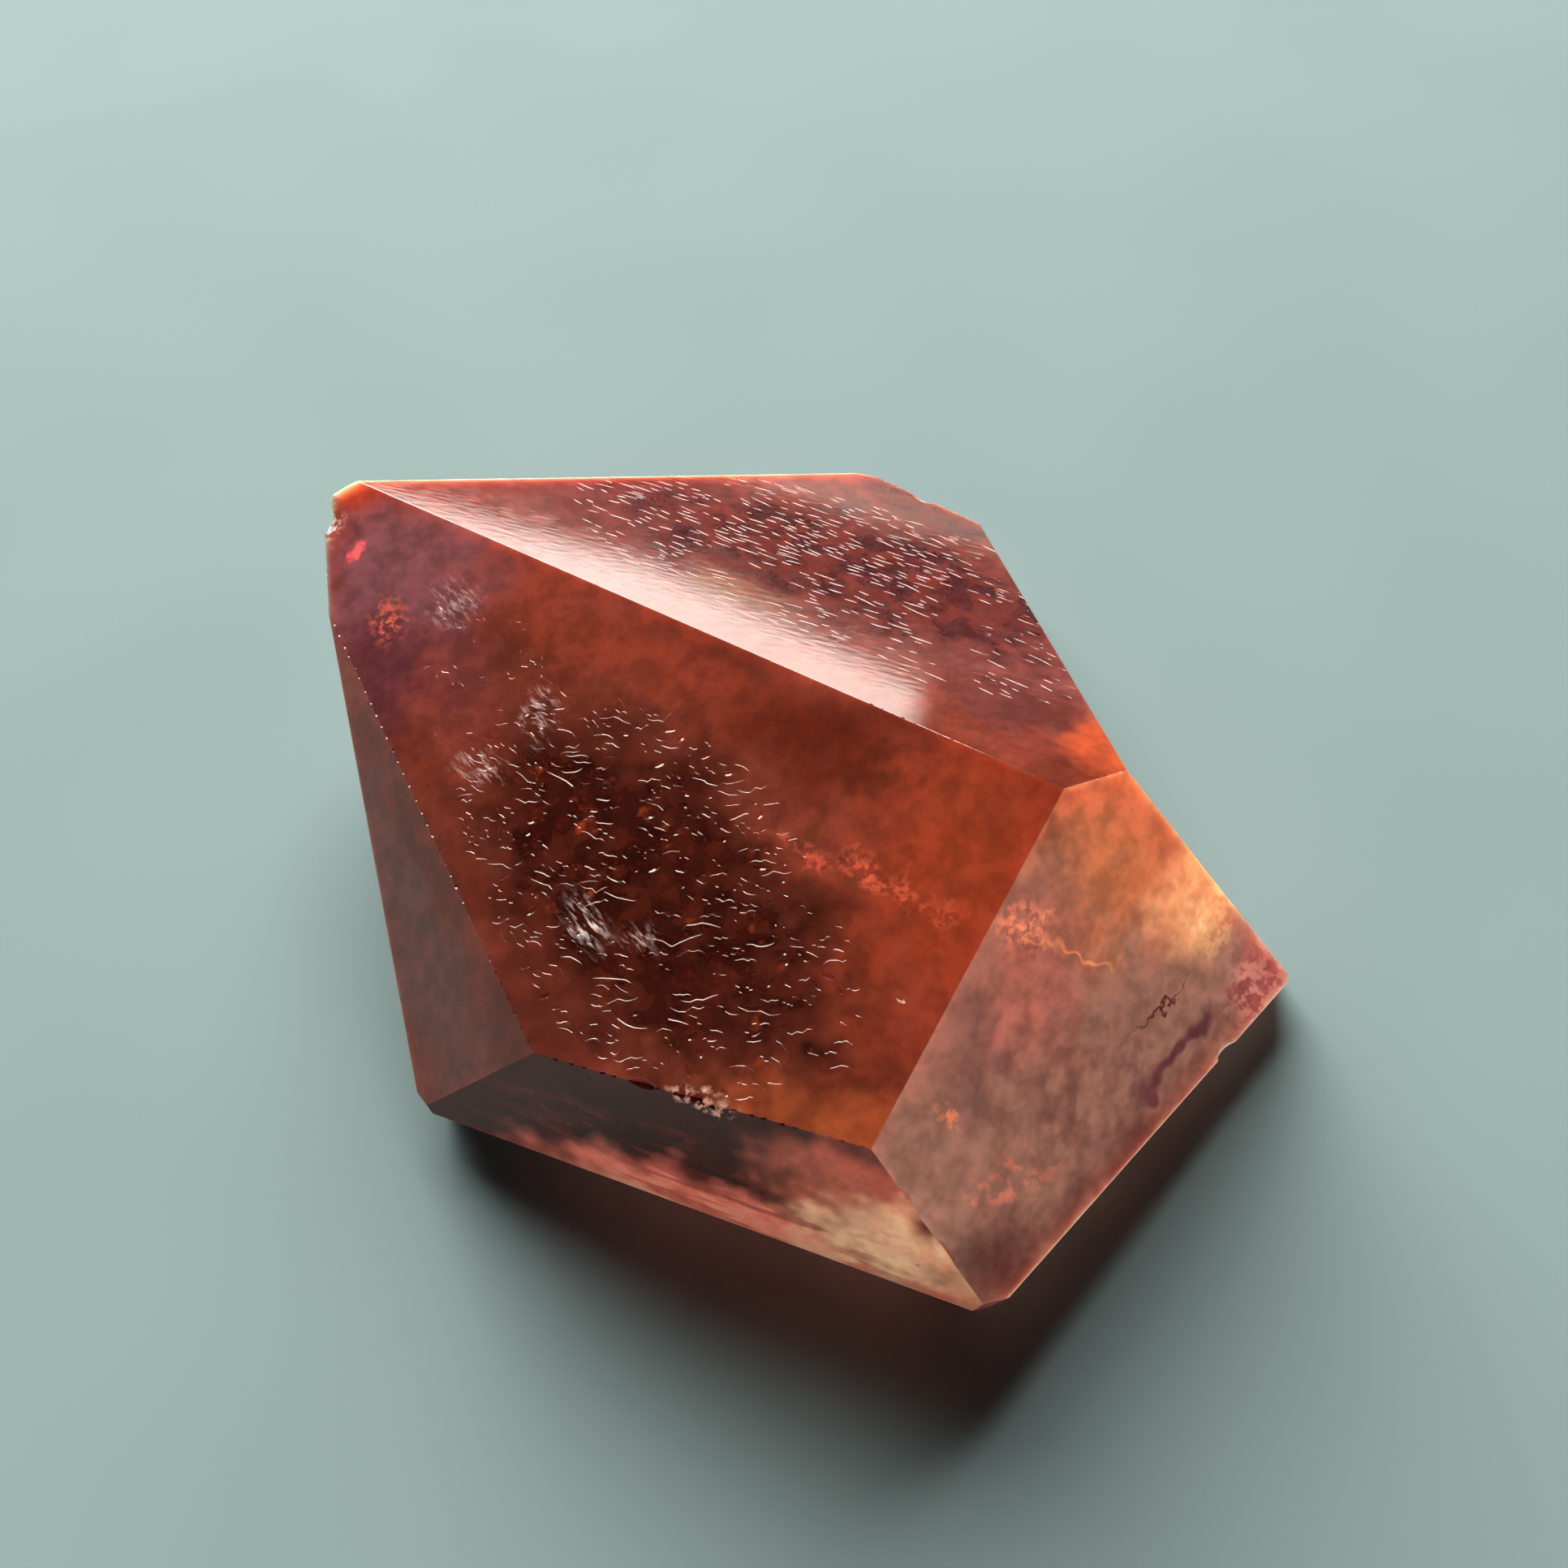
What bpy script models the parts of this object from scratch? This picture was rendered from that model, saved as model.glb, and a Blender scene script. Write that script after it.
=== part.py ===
"""Polished red quartz crystal with iron-oxide inclusions, as one faceted solid.

The stone lies on a flat resting face. Its upper side has five cut and polished
facets that meet at a low crest, its lower side leans inwards to the resting face,
and the whole comes to a worn point at the back left. A block is cut by one plane
for each facet, the sharp edges are worn by a small bevel, and then the chips, nicks
and etched grooves are cut into it.

Frame: metres, +Z up, origin under the middle of the stone, on the resting face.
"""
import math
import random

import bmesh
import bpy
from mathutils import Matrix, Vector

MM = 0.001

# Corners of the stone, in millimetres: X to the right, Y away from the front, Z up.
TIP_BACK = Vector((-34.2, 24.7, 15.5))
TIP_LEFT = Vector((-36.4, 20.7, 14.7))
LEFT_SHOULDER = Vector((-35.3, 13.5, 14.0))
LEFT_FRONT_SHOULDER = Vector((-17.0, -21.5, 13.0))
FRONT_SHOULDER = Vector((4.4, -28.7, 15.9))
CREST = Vector((17.4, -6.3, 20.8))
CREST_RIGHT = Vector((22.1, -3.7, 18.9))
BACK_CORNER = Vector((6.6, 36.2, 3.6))
BACK_RIGHT_CORNER = Vector((15.8, 28.9, 5.4))
RIGHT_TIP = Vector((36.4, -11.6, 2.3))
FRONT_CORNER = Vector((12.4, -36.2, 4.5))
LEFT_FRONT_CORNER = Vector((-26.3, -21.8, 2.9))
HOLLOW_FOOT = Vector((25.2, 4.6, 0.0))

# The point of the stone is rounded in three short steps.
TIP_ROUND = (
    Vector((-36.3, 21.4, 14.8)),
    Vector((-36.1, 23.7, 15.1)),
    Vector((-34.6, 24.6, 15.4)),
)

# Upper facets, each through three corners.
BACK_FACET = (TIP_BACK, CREST, BACK_CORNER)
MAIN_FACET = (TIP_BACK, CREST, LEFT_FRONT_SHOULDER)
LEFT_FACET = (LEFT_SHOULDER, LEFT_FRONT_SHOULDER, LEFT_FRONT_CORNER)
RIGHT_FACET = (CREST, FRONT_SHOULDER, CREST_RIGHT)
FRONT_FACET = (LEFT_FRONT_SHOULDER, FRONT_SHOULDER, FRONT_CORNER)
UPPER_FACETS = (BACK_FACET, MAIN_FACET, LEFT_FACET, RIGHT_FACET, FRONT_FACET)

# Lower facets: two corners of the widest line, and how far the foot of the facet
# lies inside that line.
LOWER_FACETS = (
    (LEFT_FRONT_CORNER, FRONT_CORNER, 3.4),
    (FRONT_CORNER, RIGHT_TIP, 2.6),
    (BACK_RIGHT_CORNER, BACK_CORNER, 0.4),
    (BACK_CORNER, TIP_BACK, 2.9),
    (TIP_ROUND[2], TIP_ROUND[1], 9.0),
    (TIP_ROUND[1], TIP_ROUND[0], 12.0),
    (TIP_LEFT, LEFT_FRONT_CORNER, 3.5),
)

# The two back facets at the right lean over a shallow hollow between them.
HOLLOW_BACK_FACET = (BACK_RIGHT_CORNER, CREST_RIGHT, HOLLOW_FOOT)
HOLLOW_RIGHT_FACET = (CREST_RIGHT, RIGHT_TIP, HOLLOW_FOOT)
HOLLOW_FACETS = (HOLLOW_BACK_FACET, HOLLOW_RIGHT_FACET)

# Worn corners: the corner and how much of it is gone.
WORN_CORNERS = (
    (FRONT_CORNER, 0.75),
    (LEFT_FRONT_CORNER, 0.5),
    (RIGHT_TIP, 0.25),
    (BACK_CORNER, 0.5),
)

EDGE_WEAR = 0.22
EDGE_WEAR_ANGLE = math.radians(12)

# Bites off the tip, where it was knocked: middle, and half length, width and depth.
TIP_BITES = (
    (Vector((-37.0, 21.2, 15.7)), (2.3, 2.2, 1.5)),
    (Vector((-37.7, 18.4, 13.4)), (1.5, 1.1, 1.5)),
)

# Chips along an edge: its two corners, the facets on both sides, the place along
# it from 0 to 1, and the half length, the half width and the depth of the chip.
EDGE_CHIPS = (
    (LEFT_FRONT_SHOULDER, FRONT_SHOULDER, MAIN_FACET, FRONT_FACET, 0.51, 2.1, 1.0, 0.40),
    (LEFT_FRONT_SHOULDER, FRONT_SHOULDER, MAIN_FACET, FRONT_FACET, 0.34, 1.3, 0.8, 0.30),
    (FRONT_SHOULDER, FRONT_CORNER, RIGHT_FACET, FRONT_FACET, 0.60, 1.5, 0.6, 0.35),
    (FRONT_SHOULDER, FRONT_CORNER, RIGHT_FACET, FRONT_FACET, 0.27, 1.0, 0.6, 0.25),
    (BACK_CORNER, BACK_RIGHT_CORNER, BACK_FACET, BACK_FACET, 0.50, 1.5, 0.9, 0.40),
    (FRONT_CORNER, RIGHT_TIP, RIGHT_FACET, RIGHT_FACET, 0.76, 1.1, 0.7, 0.35),
)

# Small nicks in a row along an edge: its two corners, the facets on both sides,
# the first and the last place along it, how many, the half length and the depth.
NICK_ROWS = (
    (TIP_LEFT, LEFT_SHOULDER, MAIN_FACET, LEFT_FACET, 0.56, 0.94, 4, 0.36, 0.16),
    (BACK_CORNER, BACK_RIGHT_CORNER, BACK_FACET, BACK_FACET, 0.20, 0.84, 2, 0.45, 0.16),
    (CREST, TIP_BACK, BACK_FACET, MAIN_FACET, 0.03, 0.22, 4, 0.32, 0.10),
)

# Etched grooves. Each field lies on the facet through three corners, and is an
# ellipse about a middle: half length, half width, turn of the long axis about Z,
# number of grooves, and the groove's own turn with its spread, all in degrees.
GROOVE_FIELDS = (
    (BACK_FACET, Vector((4.5, 17.5, 0)), 23.0, 10.5, -25, 62, -33, 14),
    (MAIN_FACET, Vector((-9.5, -11.5, 0)), 16.0, 8.5, -52, 58, -35, 75),
    (HOLLOW_BACK_FACET, Vector((22.0, 14.0, 0)), 11.0, 2.6, -75, 10, -70, 25),
    (HOLLOW_RIGHT_FACET, Vector((29.5, -6.0, 0)), 6.0, 2.4, -32, 8, -32, 25),
)
GROOVE_LENGTH = (0.7, 1.7)
GROOVE_WIDTH = (0.16, 0.30)
GROOVE_DEPTH = 0.16
GROOVE_BEND = 0.22
GROOVE_SPACING = 0.55
FACET_MARGIN = 0.9
SEED = 11

BLOCK_SIZE = 160.0
CUT_TOLERANCE = 1e-7
COLOUR = (0.30, 0.045, 0.022, 1.0)


def clear_scene():
    """Remove every object that is already in the scene."""
    for obj in list(bpy.data.objects):
        bpy.data.objects.remove(obj, do_unlink=True)


def collection(name):
    """Return a new collection linked to the scene."""
    group = bpy.data.collections.new(name)
    bpy.context.scene.collection.children.link(group)
    return group


def crystal_material():
    """Glassy red-brown quartz."""
    material = bpy.data.materials.new("red_quartz")
    material.use_nodes = True
    shader = material.node_tree.nodes["Principled BSDF"]
    shader.inputs["Base Color"].default_value = COLOUR
    shader.inputs["Metallic"].default_value = 0.0
    shader.inputs["Roughness"].default_value = 0.06
    shader.inputs["IOR"].default_value = 1.544
    shader.inputs["Transmission Weight"].default_value = 0.75
    material.diffuse_color = COLOUR
    return material


def outward_plane(point_a, point_b, point_c):
    """Plane through three points, as a point and a normal that faces away from the middle."""
    normal = (point_b - point_a).cross(point_c - point_a).normalized()
    middle = Vector((0.0, 0.0, 8.0))
    if normal.dot(point_a - middle) < 0:
        normal.negate()
    return point_a, normal


def leaning_plane(corner_a, corner_b, foot_inset):
    """Plane through an edge whose foot, on the resting face, lies inside the edge."""
    half_way = (corner_a + corner_b) / 2
    along = corner_b - corner_a
    outward = Vector((along.y, -along.x, 0.0)).normalized()
    if outward.dot(half_way) < 0:
        outward.negate()
    foot = Vector((half_way.x, half_way.y, 0.0)) - outward * foot_inset
    return outward_plane(corner_a, corner_b, foot)


def worn_corner_plane(corner, wear):
    """Upright plane that takes the very end off a corner."""
    outward = Vector((corner.x, corner.y, 0.0)).normalized()
    return corner - outward * wear, outward


def convex_planes():
    """Every plane that bounds the stone, apart from the two over the hollow."""
    planes = [outward_plane(*corners) for corners in UPPER_FACETS]
    planes += [leaning_plane(*edge) for edge in LOWER_FACETS]
    planes += [worn_corner_plane(*corner) for corner in WORN_CORNERS]
    planes.append((Vector((0.0, 0.0, 0.0)), Vector((0.0, 0.0, -1.0))))
    return planes


def keep_inside(shape, plane):
    """Cut a closed mesh with a plane, keep the part behind it and close the cut."""
    point, normal = plane
    geometry = shape.verts[:] + shape.edges[:] + shape.faces[:]
    cut = bmesh.ops.bisect_plane(
        shape, geom=geometry, dist=CUT_TOLERANCE, plane_co=point * MM, plane_no=normal,
        clear_outer=True)
    rim = [item for item in cut["geom_cut"] if isinstance(item, bmesh.types.BMEdge)]
    if rim:
        bmesh.ops.contextual_create(shape, geom=rim)


def cut_block(name, planes):
    """Make an object from a block cut by planes."""
    shape = bmesh.new()
    bmesh.ops.create_cube(shape, size=BLOCK_SIZE * MM)
    for plane in planes:
        keep_inside(shape, plane)
    bmesh.ops.remove_doubles(shape, verts=shape.verts, dist=0.00002)
    bmesh.ops.recalc_face_normals(shape, faces=shape.faces)
    mesh = bpy.data.meshes.new(name)
    shape.to_mesh(mesh)
    shape.free()
    return bpy.data.objects.new(name, mesh)


def hollow_cutter():
    """Wedge that stands outside both facets over the hollow."""
    outside = [(point, -normal) for point, normal in hollow_planes()]
    return cut_block("hollow_cutter", outside)


def hollow_planes():
    """The two facets over the hollow."""
    return [outward_plane(*corners) for corners in HOLLOW_FACETS]


def add_pebble(shape, middle, sizes, turn, segments, rings, bend=0.0):
    """Add one closed rounded cutter, bent along its length, to a mesh of cutters."""
    made = bmesh.ops.create_uvsphere(
        shape, u_segments=segments, v_segments=rings, radius=1.0,
        matrix=Matrix.Rotation(math.radians(90), 4, "Y"))
    half_length, half_width, half_depth = sizes
    for vert in made["verts"]:
        along, across, up = vert.co
        vert.co = Vector((along * half_length, across * half_width, up * half_depth))
        vert.co.y += bend * (along * along - 0.4)
        vert.co = (turn @ vert.co + middle) * MM


def edge_frame(corner_a, corner_b, facet_a, facet_b):
    """Rotation with its length along an edge and its depth straight out of the edge."""
    along = (corner_b - corner_a).normalized()
    outward = outward_plane(*facet_a)[1] + outward_plane(*facet_b)[1]
    outward = (outward - along * outward.dot(along)).normalized()
    return Matrix((along, outward.cross(along), outward)).transposed()


def add_edge_chip(shape, edge, place, sizes, segments, rings):
    """Add a rounded cutter that bites into an edge by a depth."""
    corner_a, corner_b = edge[:2]
    turn = edge_frame(*edge)
    half_length, half_width, depth = sizes
    middle = corner_a.lerp(corner_b, place) + turn.col[2] * (half_width - depth)
    add_pebble(shape, middle, (half_length, half_width, half_width), turn, segments, rings)


def chip_cutter():
    """All the chips and nicks as one object of separate rounded cutters."""
    shape = bmesh.new()
    for middle, sizes in TIP_BITES:
        add_pebble(shape, middle, sizes, Matrix.Identity(3), 14, 8)
    for *edge, place, half_length, half_width, depth in EDGE_CHIPS:
        add_edge_chip(shape, edge, place, (half_length, half_width, depth), 14, 8)
    for *edge, first, last, count, half_length, depth in NICK_ROWS:
        for index in range(count):
            place = first + (last - first) * index / (count - 1)
            add_edge_chip(shape, edge, place, (half_length, half_length, depth), 8, 6)
    return cutter_object("chip_cutter", shape)


def cutter_object(name, shape):
    """Turn a mesh of cutters into an object."""
    mesh = bpy.data.meshes.new(name)
    shape.to_mesh(mesh)
    shape.free()
    return bpy.data.objects.new(name, mesh)


def clear_of_edges(place, own_plane, planes):
    """True where a place lies inside every other facet by the margin."""
    for point, normal in planes:
        if normal.angle(own_plane[1]) < 0.01:
            continue
        if (place - point).dot(normal) > -FACET_MARGIN:
            return False
    return True


def clear_of_bites(place, reach):
    """True where a groove of this reach touches no bite at the tip."""
    return all((place - middle).length > max(sizes) + reach for middle, sizes in TIP_BITES)


def facet_turn(normal, turn):
    """Rotation that lays a groove on a facet, its length turned about Z by an angle."""
    heading = Vector((math.cos(turn), math.sin(turn), 0.0))
    along = (heading - normal * heading.dot(normal)).normalized()
    across = normal.cross(along)
    return Matrix((along, across, normal)).transposed()


def groove_places(field, planes, chance):
    """Yield place, turn and half length of each groove in one field."""
    facet, middle, long_half, short_half, axis, count, heading, spread = field
    own_plane = outward_plane(*facet)
    point, normal = own_plane
    axis_turn = Matrix.Rotation(math.radians(axis), 3, "Z")
    taken = []
    for _ in range(count * 40):
        if len(taken) == count:
            break
        radius = math.sqrt(chance.random())
        angle = chance.uniform(0.0, math.tau)
        offset = Vector((long_half * radius * math.cos(angle), short_half * radius * math.sin(angle), 0))
        place = middle + axis_turn @ offset
        place.z = point.z - ((place - point).x * normal.x + (place - point).y * normal.y) / normal.z
        half = chance.uniform(*GROOVE_LENGTH) * 0.5
        turn = math.radians(heading + chance.uniform(-spread, spread))
        apart = all((place - other).length > half + reach + GROOVE_SPACING for other, reach in taken)
        if apart and clear_of_edges(place, own_plane, planes) and clear_of_bites(place, half):
            taken.append((place, half))
            yield place, facet_turn(normal, turn), half


def groove_cutter(planes):
    """All the etched grooves as one object of separate cutters."""
    shape = bmesh.new()
    chance = random.Random(SEED)
    for field in GROOVE_FIELDS:
        for place, turning, half in groove_places(field, planes, chance):
            width = chance.uniform(*GROOVE_WIDTH) * 0.5
            bend = chance.uniform(-GROOVE_BEND, GROOVE_BEND) * half
            add_pebble(shape, place, (half, width, GROOVE_DEPTH), turning, 6, 6, bend)
    return cutter_object("groove_cutter", shape)


def add_cut(crystal, cutter):
    """Cut the crystal with another object, which stays as a wire guide."""
    cutter.hide_render = True
    cutter.display_type = "WIRE"
    cut = crystal.modifiers.new(cutter.name, "BOOLEAN")
    cut.operation = "DIFFERENCE"
    cut.solver = "EXACT"
    cut.object = cutter


def add_edge_wear(crystal):
    """Take the sharpness off the edges between facets."""
    wear = crystal.modifiers.new("edge_wear", "BEVEL")
    wear.width = EDGE_WEAR * MM
    wear.segments = 2
    wear.limit_method = "ANGLE"
    wear.angle_limit = EDGE_WEAR_ANGLE
    wear.use_clamp_overlap = True


def build():
    """Model the crystal and its cutters."""
    clear_scene()
    stone_group = collection("red_quartz_crystal")
    cutter_group = collection("cutters")
    planes = convex_planes()
    crystal = cut_block("crystal", planes)
    crystal.data.materials.append(crystal_material())
    stone_group.objects.link(crystal)
    hollow = hollow_cutter()
    chips = chip_cutter()
    grooves = groove_cutter(planes)
    for cutter in (hollow, chips, grooves):
        cutter_group.objects.link(cutter)
    add_cut(crystal, hollow)
    add_edge_wear(crystal)
    add_cut(crystal, chips)
    add_cut(crystal, grooves)


build()
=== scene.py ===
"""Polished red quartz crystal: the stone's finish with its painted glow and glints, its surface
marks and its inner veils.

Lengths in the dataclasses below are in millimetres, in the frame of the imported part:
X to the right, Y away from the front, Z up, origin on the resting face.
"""
from __future__ import annotations

import logging
import math
import random
from dataclasses import dataclass
from enum import Enum
from typing import Callable, Iterator, Sequence

import bpy
from mathutils import Matrix, Vector, noise

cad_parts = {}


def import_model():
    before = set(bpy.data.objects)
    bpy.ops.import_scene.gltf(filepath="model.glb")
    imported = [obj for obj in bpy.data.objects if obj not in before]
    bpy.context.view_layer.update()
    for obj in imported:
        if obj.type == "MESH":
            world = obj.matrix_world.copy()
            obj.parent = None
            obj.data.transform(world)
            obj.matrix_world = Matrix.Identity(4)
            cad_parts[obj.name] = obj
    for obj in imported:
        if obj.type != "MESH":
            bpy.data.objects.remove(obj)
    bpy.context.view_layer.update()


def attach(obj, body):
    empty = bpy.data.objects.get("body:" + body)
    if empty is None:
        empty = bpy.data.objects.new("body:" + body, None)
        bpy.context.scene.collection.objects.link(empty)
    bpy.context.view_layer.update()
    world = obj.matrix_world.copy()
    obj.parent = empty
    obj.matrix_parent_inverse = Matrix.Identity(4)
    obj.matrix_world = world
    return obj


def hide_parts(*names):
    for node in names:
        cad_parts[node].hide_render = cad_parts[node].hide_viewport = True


LOG = logging.getLogger("red_quartz")

Point = tuple[float, float, float]
Colour = tuple[float, float, float]
Span = tuple[float, float]
Plane = tuple[Vector, Vector]
Object = bpy.types.Object
Socket = bpy.types.NodeSocket

MM = 0.001
BODY = "root"
NODE = "crystal"


# ---------------------------------------------------------------- modelling helpers


def deselect() -> None:
    """Leave edit mode and deselect every object."""
    if bpy.context.object and bpy.context.object.mode != "OBJECT":
        bpy.ops.object.mode_set(mode="OBJECT")
    bpy.ops.object.select_all(action="DESELECT")


def activate(obj: Object) -> None:
    """Select one object alone and make it active."""
    deselect()
    obj.select_set(True)
    bpy.context.view_layer.objects.active = obj


def named(name: str) -> Object:
    """Name the active object and its mesh.

    Args:
        name: the new name.

    Returns:
        The active object.
    """
    obj = bpy.context.object
    obj.name = name
    obj.data.name = name
    return obj


def delete(obj: Object) -> None:
    """Remove an object that was only needed on the way."""
    bpy.data.objects.remove(obj, do_unlink=True)


def join(objects: Sequence[Object], name: str) -> Object:
    """Join mesh objects into the first one.

    Args:
        objects: the objects, which all become one.
        name: the name of the joined object.

    Returns:
        The joined object.
    """
    deselect()
    for obj in objects:
        obj.select_set(True)
    bpy.context.view_layer.objects.active = objects[0]
    bpy.ops.object.join()
    return named(name)


def cut_away(obj: Object, cutter: Object) -> None:
    """Cut one object with another, and remove the cutter."""
    activate(obj)
    cut = obj.modifiers.new("cut", "BOOLEAN")
    cut.operation = "DIFFERENCE"
    cut.solver = "EXACT"
    cut.object = cutter
    bpy.ops.object.modifier_apply(modifier=cut.name)
    if not obj.data.polygons:
        raise RuntimeError(f"the cut with {cutter.name} left nothing of {obj.name}")
    delete(cutter)


# ---------------------------------------------------------------- the stone's shape


@dataclass(frozen=True)
class Facet:
    """A flat cut face of the stone, through three of its corners."""

    a: Point
    b: Point
    c: Point

    def normal(self) -> Vector:
        """The facet's unit normal, facing away from the middle of the stone."""
        a, b, c = Vector(self.a), Vector(self.b), Vector(self.c)
        normal = (b - a).cross(c - a).normalized()
        return normal if normal.dot(a - Vector(Stone.MIDDLE)) > 0 else -normal

    def at(self, x: float, y: float) -> Vector:
        """The point of the facet's plane above or below a place.

        Args:
            x: the place's X.
            y: the place's Y.

        Returns:
            The point on the plane.
        """
        normal, corner = self.normal(), Vector(self.a)
        z = corner.z - ((x - corner.x) * normal.x + (y - corner.y) * normal.y) / normal.z
        return Vector((x, y, z))

    def plane(self) -> Plane:
        """A point of the facet and its normal."""
        return Vector(self.a), self.normal()


class Corner:
    """The corners of the stone."""

    TIP_BACK: Point = (-34.2, 24.7, 15.5)
    TIP_LEFT: Point = (-36.4, 20.7, 14.7)
    LEFT_SHOULDER: Point = (-35.3, 13.5, 14.0)
    LEFT_FRONT_SHOULDER: Point = (-17.0, -21.5, 13.0)
    FRONT_SHOULDER: Point = (4.4, -28.7, 15.9)
    CREST: Point = (17.4, -6.3, 20.8)
    CREST_RIGHT: Point = (22.1, -3.7, 18.9)
    BACK: Point = (6.6, 36.2, 3.6)
    BACK_RIGHT: Point = (15.8, 28.9, 5.4)
    RIGHT_TIP: Point = (36.4, -11.6, 2.3)
    FRONT: Point = (12.4, -36.2, 4.5)
    LEFT_FRONT: Point = (-26.3, -21.8, 2.9)
    HOLLOW_FOOT: Point = (25.2, 4.6, 0.0)
    TIP_ROUND: tuple[Point, Point, Point] = (
        (-36.3, 21.4, 14.8), (-36.1, 23.7, 15.1), (-34.6, 24.6, 15.4))


class Face:
    """The facets that carry marks, chips or colour."""

    BACK = Facet(Corner.TIP_BACK, Corner.CREST, Corner.BACK)
    MAIN = Facet(Corner.TIP_BACK, Corner.CREST, Corner.LEFT_FRONT_SHOULDER)
    LEFT = Facet(Corner.LEFT_SHOULDER, Corner.LEFT_FRONT_SHOULDER, Corner.LEFT_FRONT)
    RIGHT = Facet(Corner.CREST, Corner.FRONT_SHOULDER, Corner.CREST_RIGHT)
    FRONT = Facet(Corner.LEFT_FRONT_SHOULDER, Corner.FRONT_SHOULDER, Corner.FRONT)
    HOLLOW_BACK = Facet(Corner.BACK_RIGHT, Corner.CREST_RIGHT, Corner.HOLLOW_FOOT)
    HOLLOW_RIGHT = Facet(Corner.CREST_RIGHT, Corner.RIGHT_TIP, Corner.HOLLOW_FOOT)


@dataclass(frozen=True)
class Edge:
    """An edge of the stone, from one corner to another, and the facets on its two sides."""

    start: Point
    end: Point
    sides: tuple[Facet, Facet]


class Rim:
    """The edges that carry chips or nicks."""

    CREST = Edge(Corner.CREST, Corner.TIP_BACK, (Face.BACK, Face.MAIN))
    CREST_END = Edge(Corner.CREST, Corner.CREST_RIGHT, (Face.BACK, Face.RIGHT))
    TIP = Edge(Corner.TIP_LEFT, Corner.LEFT_SHOULDER, (Face.MAIN, Face.LEFT))
    LEFT = Edge(Corner.LEFT_SHOULDER, Corner.LEFT_FRONT_SHOULDER, (Face.MAIN, Face.LEFT))
    FRONT = Edge(Corner.LEFT_FRONT_SHOULDER, Corner.FRONT_SHOULDER, (Face.MAIN, Face.FRONT))
    FRONT_RIGHT = Edge(Corner.FRONT_SHOULDER, Corner.FRONT, (Face.RIGHT, Face.FRONT))
    RIGHT_FOOT = Edge(Corner.FRONT, Corner.RIGHT_TIP, (Face.RIGHT, Face.RIGHT))
    BACK_FOOT = Edge(Corner.BACK, Corner.BACK_RIGHT, (Face.BACK, Face.BACK))


@dataclass(frozen=True)
class EdgeChip:
    """A conchoidal chip on an edge, at a place from 0 to 1 along it."""

    edge: Edge
    place: float
    half_length: float
    half_width: float
    depth: float


@dataclass(frozen=True)
class NickRow:
    """A row of tiny nicks along an edge, from one place to another between 0 and 1."""

    edge: Edge
    first: float
    last: float
    count: int
    half_length: Span
    depth: Span


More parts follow.
